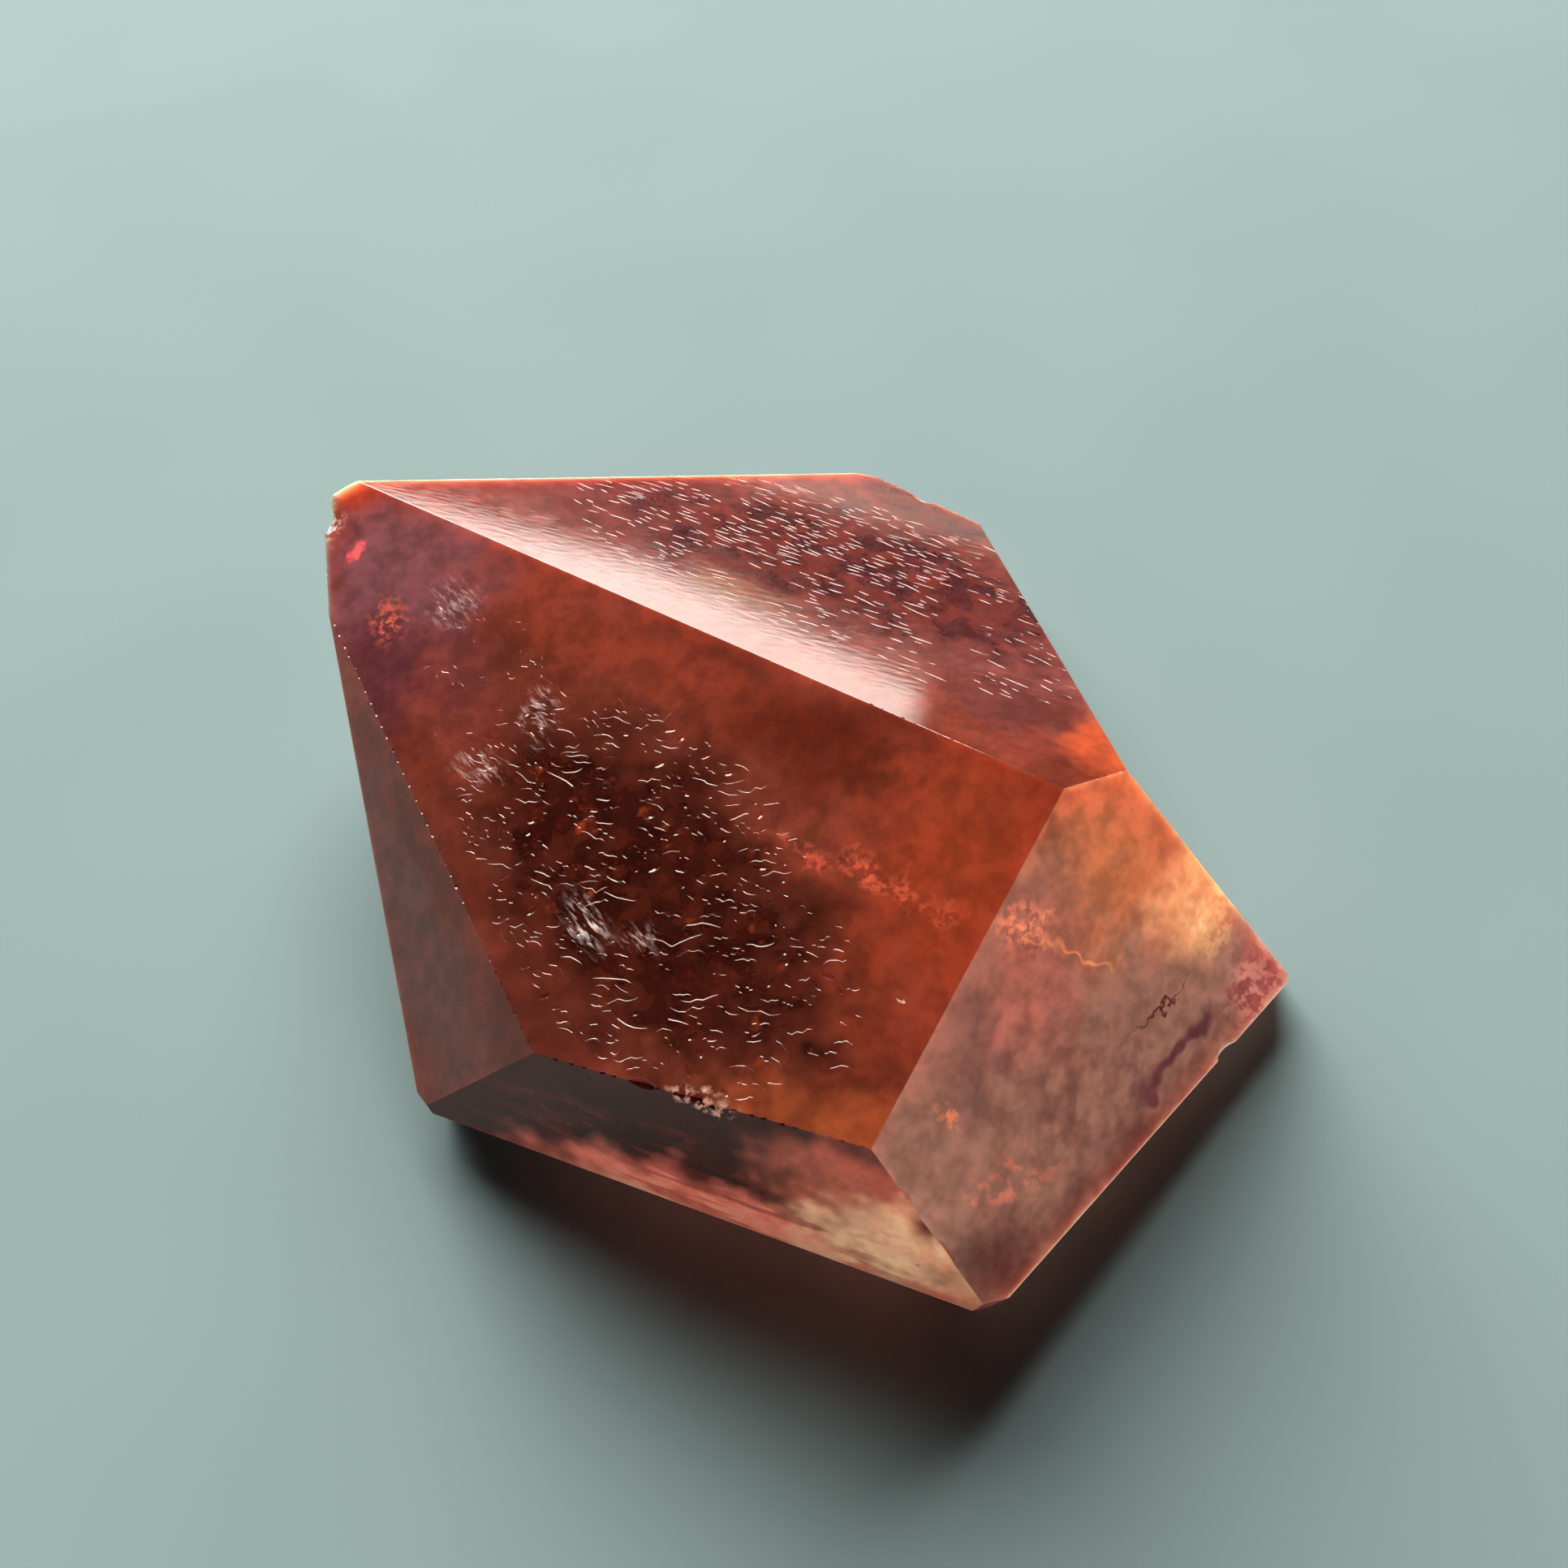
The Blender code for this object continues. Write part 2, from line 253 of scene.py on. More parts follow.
@dataclass(frozen=True)
class Stone:
    """The faceted body: a block cut facet by facet, its edges worn and chipped."""

    MIDDLE = (0.0, 0.0, 8.0)

    block: float = 160.0
    edge_wear: float = 0.22
    wear_segments: int = 3
    wear_angle: float = 12.0
    merge: float = 0.02
    cut_threshold: float = 0.0001
    tip_smooth: int = 2
    chip_smooth: int = 3
    nick_smooth: int = 1
    worn_corners: tuple[tuple[Point, float], ...] = (
        (Corner.FRONT, 0.75), (Corner.LEFT_FRONT, 0.5), (Corner.RIGHT_TIP, 0.25),
        (Corner.BACK, 0.5))
    lower_facets: tuple[tuple[Point, Point, float], ...] = (
        (Corner.LEFT_FRONT, Corner.FRONT, 3.4),
        (Corner.FRONT, Corner.RIGHT_TIP, 2.6),
        (Corner.BACK_RIGHT, Corner.BACK, 0.4),
        (Corner.BACK, Corner.TIP_BACK, 2.9),
        (Corner.TIP_ROUND[2], Corner.TIP_ROUND[1], 9.0),
        (Corner.TIP_ROUND[1], Corner.TIP_ROUND[0], 12.0),
        (Corner.TIP_LEFT, Corner.LEFT_FRONT, 3.5))
    tip_bites: tuple[tuple[Point, Point], ...] = (
        ((-37.0, 21.2, 15.7), (2.3, 2.2, 1.5)),
        ((-37.7, 18.4, 13.4), (1.5, 1.1, 1.5)))
    edge_chips: tuple[EdgeChip, ...] = (
        EdgeChip(Rim.FRONT, 0.51, 2.1, 1.0, 0.40),
        EdgeChip(Rim.FRONT, 0.34, 1.3, 0.8, 0.30),
        EdgeChip(Rim.FRONT_RIGHT, 0.60, 1.5, 0.6, 0.35),
        EdgeChip(Rim.FRONT_RIGHT, 0.27, 1.0, 0.6, 0.25),
        EdgeChip(Rim.BACK_FOOT, 0.50, 1.5, 0.9, 0.40),
        EdgeChip(Rim.RIGHT_FOOT, 0.76, 1.1, 0.7, 0.35))

    nick_seed: int = 3
    nick_shift: float = 0.15
    nick_width: Span = (0.7, 1.0)
    nick_rows: tuple[NickRow, ...] = (
        NickRow(Rim.TIP, 0.50, 0.96, 6, (0.22, 0.38), (0.12, 0.20)),
        NickRow(Rim.BACK_FOOT, 0.20, 0.84, 2, (0.40, 0.45), (0.15, 0.17)),
        NickRow(Rim.CREST, 0.02, 0.24, 16, (0.15, 0.34), (0.05, 0.10)),
        NickRow(Rim.LEFT, 0.04, 0.98, 34, (0.14, 0.32), (0.11, 0.17)),
        NickRow(Rim.FRONT, 0.03, 0.97, 22, (0.14, 0.32), (0.14, 0.21)),
        NickRow(Rim.CREST_END, 0.10, 0.90, 5, (0.14, 0.30), (0.08, 0.14)))

    def leaning_plane(self, start: Point, end: Point, inset: float) -> Plane:
        """Plane of a lower facet, whose foot lies inside the stone's widest line.

        Args:
            start: one corner of the widest line.
            end: the next corner.
            inset: how far inside the foot lies.

        Returns:
            A point of the plane and its outward normal.
        """
        half_way = (Vector(start) + Vector(end)) / 2
        along = Vector(end) - Vector(start)
        outward = Vector((along.y, -along.x, 0.0)).normalized()
        if outward.dot(half_way) < 0:
            outward.negate()
        foot = Vector((half_way.x, half_way.y, 0.0)) - outward * inset
        return Facet(start, end, tuple(foot)).plane()

    def planes(self) -> list[Plane]:
        """Every plane that bounds the stone, apart from the two over the hollow."""
        upper = (Face.BACK, Face.MAIN, Face.LEFT, Face.RIGHT, Face.FRONT)
        planes = [facet.plane() for facet in upper]
        planes += [self.leaning_plane(*edge) for edge in self.lower_facets]
        for corner, wear in self.worn_corners:
            outward = Vector((corner[0], corner[1], 0.0)).normalized()
            planes.append((Vector(corner) - outward * wear, outward))
        planes.append((Vector(), Vector((0.0, 0.0, -1.0))))
        return planes

    def cut_block(self, name: str, planes: Sequence[Plane]) -> Object:
        """Cut a block with planes and keep what lies behind them all.

        Args:
            name: the new object's name.
            planes: a point and an outward normal for each plane.

        Returns:
            The cut block.
        """
        deselect()
        bpy.ops.mesh.primitive_cube_add(size=self.block * MM)
        bpy.ops.object.mode_set(mode="EDIT")
        for point, normal in planes:
            bpy.ops.mesh.select_all(action="SELECT")
            bpy.ops.mesh.bisect(plane_co=point * MM, plane_no=normal, use_fill=True,
                                clear_outer=True, threshold=self.cut_threshold * MM)
        bpy.ops.mesh.select_all(action="SELECT")
        bpy.ops.mesh.remove_doubles(threshold=self.merge * MM)
        bpy.ops.mesh.normals_make_consistent(inside=False)
        bpy.ops.object.mode_set(mode="OBJECT")
        return named(name)

    def wear_edges(self, stone: Object) -> None:
        """Take the sharpness off the edges between facets."""
        activate(stone)
        wear = stone.modifiers.new("wear", "BEVEL")
        wear.width = self.edge_wear * MM
        wear.segments = self.wear_segments
        wear.limit_method = "ANGLE"
        wear.angle_limit = math.radians(self.wear_angle)
        bpy.ops.object.modifier_apply(modifier=wear.name)

    def chip(self, middle: Vector, half: Sequence[float], turn: Matrix,
             smooth: int) -> Object:
        """Model one rounded cutter for a chip.

        Args:
            middle: the middle of the chip's hollow.
            half: half length, half width and half depth.
            turn: a 3 by 3 rotation.
            smooth: how often the cutter's facets are split, from 1.

        Returns:
            The cutter.
        """
        deselect()
        bpy.ops.mesh.primitive_ico_sphere_add(subdivisions=smooth, radius=1.0)
        cutter = named("chip")
        size = Matrix.Diagonal(Vector(half) * MM).to_4x4()
        cutter.data.transform(Matrix.Translation(middle * MM) @ turn.to_4x4() @ size)
        return cutter

    def edge_cutter(self, spec: EdgeChip, smooth: int) -> Object:
        """Model the cutter of one chip on an edge."""
        start, end = Vector(spec.edge.start), Vector(spec.edge.end)
        along = (end - start).normalized()
        outward = spec.edge.sides[0].normal() + spec.edge.sides[1].normal()
        outward = (outward - along * outward.dot(along)).normalized()
        turn = Matrix((along, outward.cross(along), outward)).transposed()
        middle = start.lerp(end, spec.place) + outward * (spec.half_width - spec.depth)
        half = (spec.half_length, spec.half_width, spec.half_width)
        return self.chip(middle, half, turn, smooth)

    def chips(self) -> Object:
        """Model all the chips as one cutter of separate rounded parts."""
        cutters = [self.chip(Vector(middle), half, Matrix.Identity(3), self.tip_smooth)
                   for middle, half in self.tip_bites]
        cutters += [self.edge_cutter(spec, self.chip_smooth) for spec in self.edge_chips]
        return join(cutters, "chips")

    def nicks(self) -> Object:
        """Model the rows of tiny nicks as one cutter of separate facetted parts."""
        chance = random.Random(self.nick_seed)
        cutters = []
        for row in self.nick_rows:
            gap = (row.last - row.first) / (row.count - 1)
            for index in range(row.count):
                shift = chance.uniform(-self.nick_shift, self.nick_shift)
                half_length = chance.uniform(*row.half_length)
                half_width = half_length * chance.uniform(*self.nick_width)
                nick = EdgeChip(row.edge, row.first + gap * (index + shift), half_length,
                                half_width, chance.uniform(*row.depth))
                cutters.append(self.edge_cutter(nick, self.nick_smooth))
        return join(cutters, "nicks")

    def build(self) -> Object:
        """Model the stone without its etched marks."""
        stone = self.cut_block("red_quartz_stone", self.planes())
        hollow = [(point, -normal) for point, normal in
                  (Face.HOLLOW_BACK.plane(), Face.HOLLOW_RIGHT.plane())]
        cut_away(stone, self.cut_block("hollow", hollow))
        self.wear_edges(stone)
        cut_away(stone, self.chips())
        cut_away(stone, self.nicks())
        return stone


# ---------------------------------------------------------------- etched marks


class Run(Enum):
    """What an etched mark looks like: a nearly straight dash, a zigzag, or a rounded pit."""

    STRAIGHT = "straight"
    ZIGZAG = "zigzag"
    PIT = "pit"


@dataclass(frozen=True)
class MarkField:
    """A field of etched marks on one facet, inside an ellipse seen from above.

    The headings are in degrees about Z, crowd is under 1 where the marks thin out
    towards the rim, slope is a mark's depth over its half width, and swing is how far
    a mark strays from a straight line.
    """

    facet: Facet
    middle: Span
    half: Span
    axis: float
    count: int
    heading: float
    spread: float
    half_length: Span
    half_width: Span
    slope: float
    run: Run
    swing: float
    crowd: float = 0.6


@dataclass(frozen=True)
class Mark:
    """One etched mark: where it lies, which way it runs, its size and its bends."""

    CURL_LEVEL = 0.4

    place: Vector
    heading: float
    half: float
    width: float
    depth: float
    curl: float
    jags: tuple[float, ...]

    def side(self, along: float) -> float:
        """How far the mark has strayed sideways at a place from -1 to 1 along it."""
        side = self.curl * (along * along - self.CURL_LEVEL)
        if self.jags:
            turn = (along + 1.0) / 2.0 * (len(self.jags) - 1)
            knot = min(int(turn), len(self.jags) - 2)
            side += self.jags[knot] + (self.jags[knot + 1] - self.jags[knot]) * (turn - knot)
        return side

    def spots(self, count: int) -> list[Vector]:
        """Points along the mark as seen from above."""
        along = Vector((math.cos(self.heading), math.sin(self.heading)))
        across = Vector((-along.y, along.x))
        shares = [2.0 * index / (count - 1) - 1.0 for index in range(count)]
        return [self.place.xy + along * self.half * share + across * self.side(share)
                for share in shares]


class Clearance:
    """Keeps the marks from running into one another."""

    def __init__(self, spacing: float, cell: float = 1.0, spots: int = 17) -> None:
        """Start with nothing taken."""
        self.spacing, self.cell, self.spots = spacing, cell, spots
        self.taken: dict[tuple[int, int], list[tuple[Vector, float]]] = {}

    def key(self, spot: Vector) -> tuple[int, int]:
        """The cell that a spot lies in."""
        return math.floor(spot.x / self.cell), math.floor(spot.y / self.cell)

    def clear(self, mark: Mark) -> bool:
        """Whether a mark lies clear of all that were taken before."""
        for spot in mark.spots(self.spots):
            column, row = self.key(spot)
            for cell in ((column + x, row + y) for x in (-1, 0, 1) for y in (-1, 0, 1)):
                for other, width in self.taken.get(cell, ()):
                    if (spot - other).length < mark.width + width + self.spacing:
                        return False
        return True

    def take(self, mark: Mark) -> None:
        """Note where a mark lies."""
        for spot in mark.spots(self.spots):
            self.taken.setdefault(self.key(spot), []).append((spot, mark.width))


@dataclass(frozen=True)
class EtchedMarks:
    """The fields of small grooves and curled pits in the polish."""

    seed: int = 5
    margin: float = 0.45
    spacing: float = 0.09
    tries: int = 30
    groove_rings: int = 9
    groove_segments: int = 4
    pit_rings: int = 6
    pit_segments: int = 8
    jags: int = 6
    lift: float = 0.12
    usual_length: float = 1.6
    full_width_from: float = 0.35
    depth_spread: Span = (0.8, 1.25)
    rim_share: float = 0.5
    own_plane: float = 0.01
    clump_scale: float = 0.30
    clump_from: Span = (-0.35, 0.15)
    fields: tuple[MarkField, ...] = (
        MarkField(Face.BACK, (5.5, 18.0), (25.0, 11.5), -25, 460, -30, 16,
                  (0.24, 1.35), (0.055, 0.100), 0.26, Run.STRAIGHT, 0.10, 0.60),
        MarkField(Face.MAIN, (-9.8, -11.0), (17.5, 9.5), -52, 70, -35, 90,
                  (0.22, 0.60), (0.10, 0.26), 0.50, Run.PIT, 0.0, 0.6),
        MarkField(Face.MAIN, (-9.8, -11.0), (18.0, 9.8), -52, 340, -34, 46,
                  (0.32, 2.20), (0.050, 0.100), 0.46, Run.ZIGZAG, 0.26, 0.58),
        MarkField(Face.MAIN, (-23.0, 6.5), (7.5, 5.5), -52, 40, -33, 60,
                  (0.12, 0.45), (0.07, 0.12), 0.50, Run.ZIGZAG, 0.20),
        MarkField(Face.HOLLOW_BACK, (22.0, 14.0), (11.0, 2.6), -75, 30, -70, 25,
                  (0.20, 0.60), (0.05, 0.10), 0.5, Run.STRAIGHT, 0.2),
        MarkField(Face.HOLLOW_RIGHT, (29.5, -6.0), (6.0, 2.4), -32, 14, -32, 25,
                  (0.20, 0.60), (0.05, 0.10), 0.5, Run.STRAIGHT, 0.2))

    def pattern(self, run: Run) -> Object:
        """Model one spindle of unit size, which a field's marks are copied from."""
        deselect()
        segments, rings = self.groove_segments, self.groove_rings
        if run is Run.PIT:
            segments, rings = self.pit_segments, self.pit_rings
        bpy.ops.mesh.primitive_uv_sphere_add(segments=segments, ring_count=rings, radius=1.0,
                                             rotation=(0.0, math.radians(90), 0.0))
        bpy.ops.object.transform_apply(location=False, rotation=True, scale=False)
        return named("groove")

    def mark(self, field: MarkField, chance: random.Random) -> Mark:
        """Make up one mark of a field, wherever it falls."""
        radius, angle = chance.random() ** field.crowd, chance.uniform(0.0, math.tau)
        offset = Matrix.Rotation(math.radians(field.axis), 2) @ Vector(
            (field.half[0] * radius * math.cos(angle), field.half[1] * radius * math.sin(angle)))
        half = chance.triangular(*field.half_length, field.half_length[0] * self.usual_length)
        width = chance.uniform(*field.half_width) * min(1.0, half / self.full_width_from)
        jags = ()
        if field.run is Run.ZIGZAG:
            jags = tuple(chance.uniform(-1.0, 1.0) * field.swing * half
                         for _ in range(self.jags))
        return Mark(
            place=field.facet.at(field.middle[0] + offset.x, field.middle[1] + offset.y),
            heading=math.radians(field.heading + chance.uniform(-field.spread, field.spread)),
            half=half, width=width, depth=width * field.slope * chance.uniform(*self.depth_spread),
            curl=chance.uniform(-1.0, 1.0) * field.swing * half, jags=jags)

    def marks(self, field: MarkField, planes: Sequence[Plane],
              clearance: Clearance, chance: random.Random) -> Iterator[Mark]:
        """Find clear places for the marks of one field, which keep to clumps.

        Args:
            field: the field.
            planes: the planes that bound the stone.
            clearance: the marks made before, which grows.
            chance: the source of random numbers.

        Yields:
            Each mark.
        """
        own = field.facet.normal()
        rims = [(point, normal) for point, normal in planes if normal.angle(own) > self.own_plane]
        made = 0
        for _ in range(field.count * self.tries):
            if made == field.count:
                return
            mark = self.mark(field, chance)
            margin = self.margin + mark.half * self.rim_share
            if any((mark.place - point).dot(normal) > -margin for point, normal in rims):
                continue
            if noise.noise(mark.place * self.clump_scale) < chance.uniform(*self.clump_from):
                continue
            if clearance.clear(mark):
                clearance.take(mark)
                made += 1
                yield mark

    def shape(self, mesh: bpy.types.Mesh, mark: Mark) -> None:
        """Give one copied spindle its own length, width and run."""
        for vert in mesh.vertices:
            x, y, z = vert.co
            vert.co = Vector((x * mark.half, y * mark.width + mark.side(x),
                              (z + self.lift) * mark.depth))

    def cutter(self, field: MarkField, planes: Sequence[Plane],
               clearance: Clearance, chance: random.Random) -> Object:
        """Model one field's marks as one cutter.

        Args:
            field: the field.
            planes: the planes that bound the stone.
            clearance: the marks made before.
            chance: the source of random numbers.

        Returns:
            The joined cutter.
        """
        normal = field.facet.normal()
        pattern = self.pattern(field.run)
        copies = []
        for mark in self.marks(field, planes, clearance, chance):
            along = Vector((math.cos(mark.heading), math.sin(mark.heading), 0.0))
            along = (along - normal * along.dot(normal)).normalized()
            turn = Matrix((along, normal.cross(along), normal)).transposed().to_4x4()
            copy = pattern.copy()
            copy.data = pattern.data.copy()
            bpy.context.collection.objects.link(copy)
            self.shape(copy.data, mark)
            place = Matrix.Translation(mark.place * MM) @ turn @ Matrix.Scale(MM, 4)
            copy.data.transform(place)
            copies.append(copy)
        delete(pattern)
        LOG.info("%d marks in one field", len(copies))
        return join(copies, "marks")

    def etch(self, stone: Object, planes: Sequence[Plane]) -> None:
        """Cut every field of marks into the stone."""
        chance = random.Random(self.seed)
        clearance = Clearance(self.spacing)
        for field in self.fields:
            cut_away(stone, self.cutter(field, planes, clearance, chance))


# ---------------------------------------------------------------- materials


@dataclass(frozen=True)
class Pattern:
    """A noise, with so many lumps to the millimetre, and the span of it that makes a step.

    Rough is the share of the fine octaves. The lumps are stretched along X, Y and Z,
    and then turned about Z by the heading in degrees.
    """

    per_mm: float
    octaves: int
    rough: float
    span: Span
    stretch: Point = (1.0, 1.0, 1.0)
    heading: float = 0.0


class Nodes:
    """Small steps for building a node tree."""

    def __init__(self, tree: bpy.types.NodeTree) -> None:
        """Take up a node tree."""
        self.tree = tree

    def add(self, kind: str, **settings: object) -> bpy.types.Node:
        """Add a node and set its properties."""
        node = self.tree.nodes.new(kind)
        for key, value in settings.items():
            setattr(node, key, value)
        return node

    def link(self, source: Socket, target: Socket) -> None:
        """Join two sockets."""
        self.tree.links.new(source, target)

    def feed(self, target: Socket, value: Socket | float | Sequence[float]) -> None:
        """Join a socket to another one, or set its number or vector."""
        if isinstance(value, Socket):
            self.link(value, target)
        else:
            target.default_value = value

    def vector(self, operation: str, *values: Socket | Sequence[float]) -> Socket:
        """One Vector Math node on sockets and vectors."""
        node = self.add("ShaderNodeVectorMath", operation=operation)
        for target, value in zip(node.inputs, values):
            self.feed(target, value)
        return node.outputs["Value" if operation == "DOT_PRODUCT" else "Vector"]

    def ramp(self, value: Socket, low: float, high: float,
             to_low: float = 0.0, to_high: float = 1.0) -> Socket:
        """A smooth step of a value from one range to another."""
        step = self.add("ShaderNodeMapRange", interpolation_type="SMOOTHSTEP")
        for name, number in (("From Min", low), ("From Max", high),
                             ("To Min", to_low), ("To Max", to_high)):
            step.inputs[name].default_value = number
        self.link(value, step.inputs["Value"])
        return step.outputs["Result"]

    def maths(self, operation: str, first: Socket,
              second: Socket | float) -> Socket:
        """One Math node on a socket and a socket or number."""
        node = self.add("ShaderNodeMath", operation=operation)
        self.link(first, node.inputs[0])
        self.feed(node.inputs[1], second)
        return node.outputs[0]

    def mix(self, share: Socket, base: Socket | Colour,
            over: Socket | Colour) -> Socket:
        """Mix two colours by a share from 0 to 1."""
        node = self.add("ShaderNodeMix", data_type="RGBA")
        self.link(share, node.inputs["Factor"])
        for target, value in ((node.inputs[6], base), (node.inputs[7], over)):
            self.feed(target, value if isinstance(value, Socket) else (*value, 1.0))
        return node.outputs[2]


class MaterialNodes(Nodes):
    """Small steps for building a material, whose noises lie in the object's space."""

    def __init__(self, name: str) -> None:
        """Start a new material with its shader and output."""
        self.material = bpy.data.materials.new(name)
        self.material.use_nodes = True
        super().__init__(self.material.node_tree)
        self.shader = self.tree.nodes["Principled BSDF"]
        self.output = self.tree.nodes["Material Output"]
        self.place = self.add("ShaderNodeTexCoord").outputs["Object"]
        self.kept: dict[object, Socket] = {}

    def shared(self, key: object, make: Callable[[], Socket]) -> Socket:
        """The socket kept under a key, which is made the first time it is asked for."""
        if key not in self.kept:
            self.kept[key] = make()
        return self.kept[key]

    def noise(self, pattern: Pattern, output: str = "Fac") -> Socket:
        """A pattern's noise: its Fac or its Color."""
        texture = self.add("ShaderNodeTexNoise")
        texture.texture_mapping.vector_type = "TEXTURE"
        texture.texture_mapping.scale = pattern.stretch
        texture.texture_mapping.rotation = (0.0, 0.0, math.radians(pattern.heading))
        texture.inputs["Scale"].default_value = pattern.per_mm / MM
        texture.inputs["Detail"].default_value = pattern.octaves - 1
        texture.inputs["Roughness"].default_value = pattern.rough
        self.link(self.place, texture.inputs["Vector"])
        return texture.outputs[output]

    def step(self, pattern: Pattern, to_low: float = 0.0, to_high: float = 1.0) -> Socket:
        """A pattern's noise, stepped smoothly over its span from one value to another."""
        return self.ramp(self.noise(pattern), *pattern.span, to_low, to_high)


class Grain(Enum):
    """How a cloud of colour breaks up inside its outline."""

    SMOOTH = "smooth"
    PATCHY = "patchy"
    FLECKED = "flecked"
    FEATHERED = "feathered"
    CURDLED = "curdled"
    STREAKED = "streaked"


@dataclass(frozen=True)
class Cloud:
    """A soft patch of colour in the stone: an ellipsoid with a ragged edge."""

    middle: Point
    half: Point
    colour: Colour
    strength: float = 1.0
    heading: float = 0.0
    soft: float = 0.5
    grain: Grain = Grain.SMOOTH

    def over(self, nodes: Nodes, base: Socket | Colour, space: Socket,
             grains: dict[Grain, Socket]) -> Socket:
        """Lay the cloud over a base colour.

        Args:
            nodes: the material's nodes.
            base: the colour under the cloud.
            space: the place in millimetres, shaken and turned by the cloud's heading.
            grains: a share from 0 to 1 for each grain but the smooth one.

        Returns:
            The new colour.
        """
        rim = 1.0 + self.soft / 2.0
        ball = nodes.add("ShaderNodeTexGradient", gradient_type="SPHERICAL")
        ball.texture_mapping.vector_type = "TEXTURE"
        ball.texture_mapping.translation = (
            Matrix.Rotation(math.radians(-self.heading), 3, "Z") @ Vector(self.middle))
        ball.texture_mapping.scale = Vector(self.half) * rim
        nodes.link(space, ball.inputs["Vector"])
        share = nodes.ramp(ball.outputs["Fac"], 0.0, 1.0 - (1.0 - self.soft) / rim,
                           0.0, self.strength)
        if self.grain is not Grain.SMOOTH:
            share = nodes.maths("MULTIPLY", share, grains[self.grain])
        return nodes.mix(share, base, self.colour)


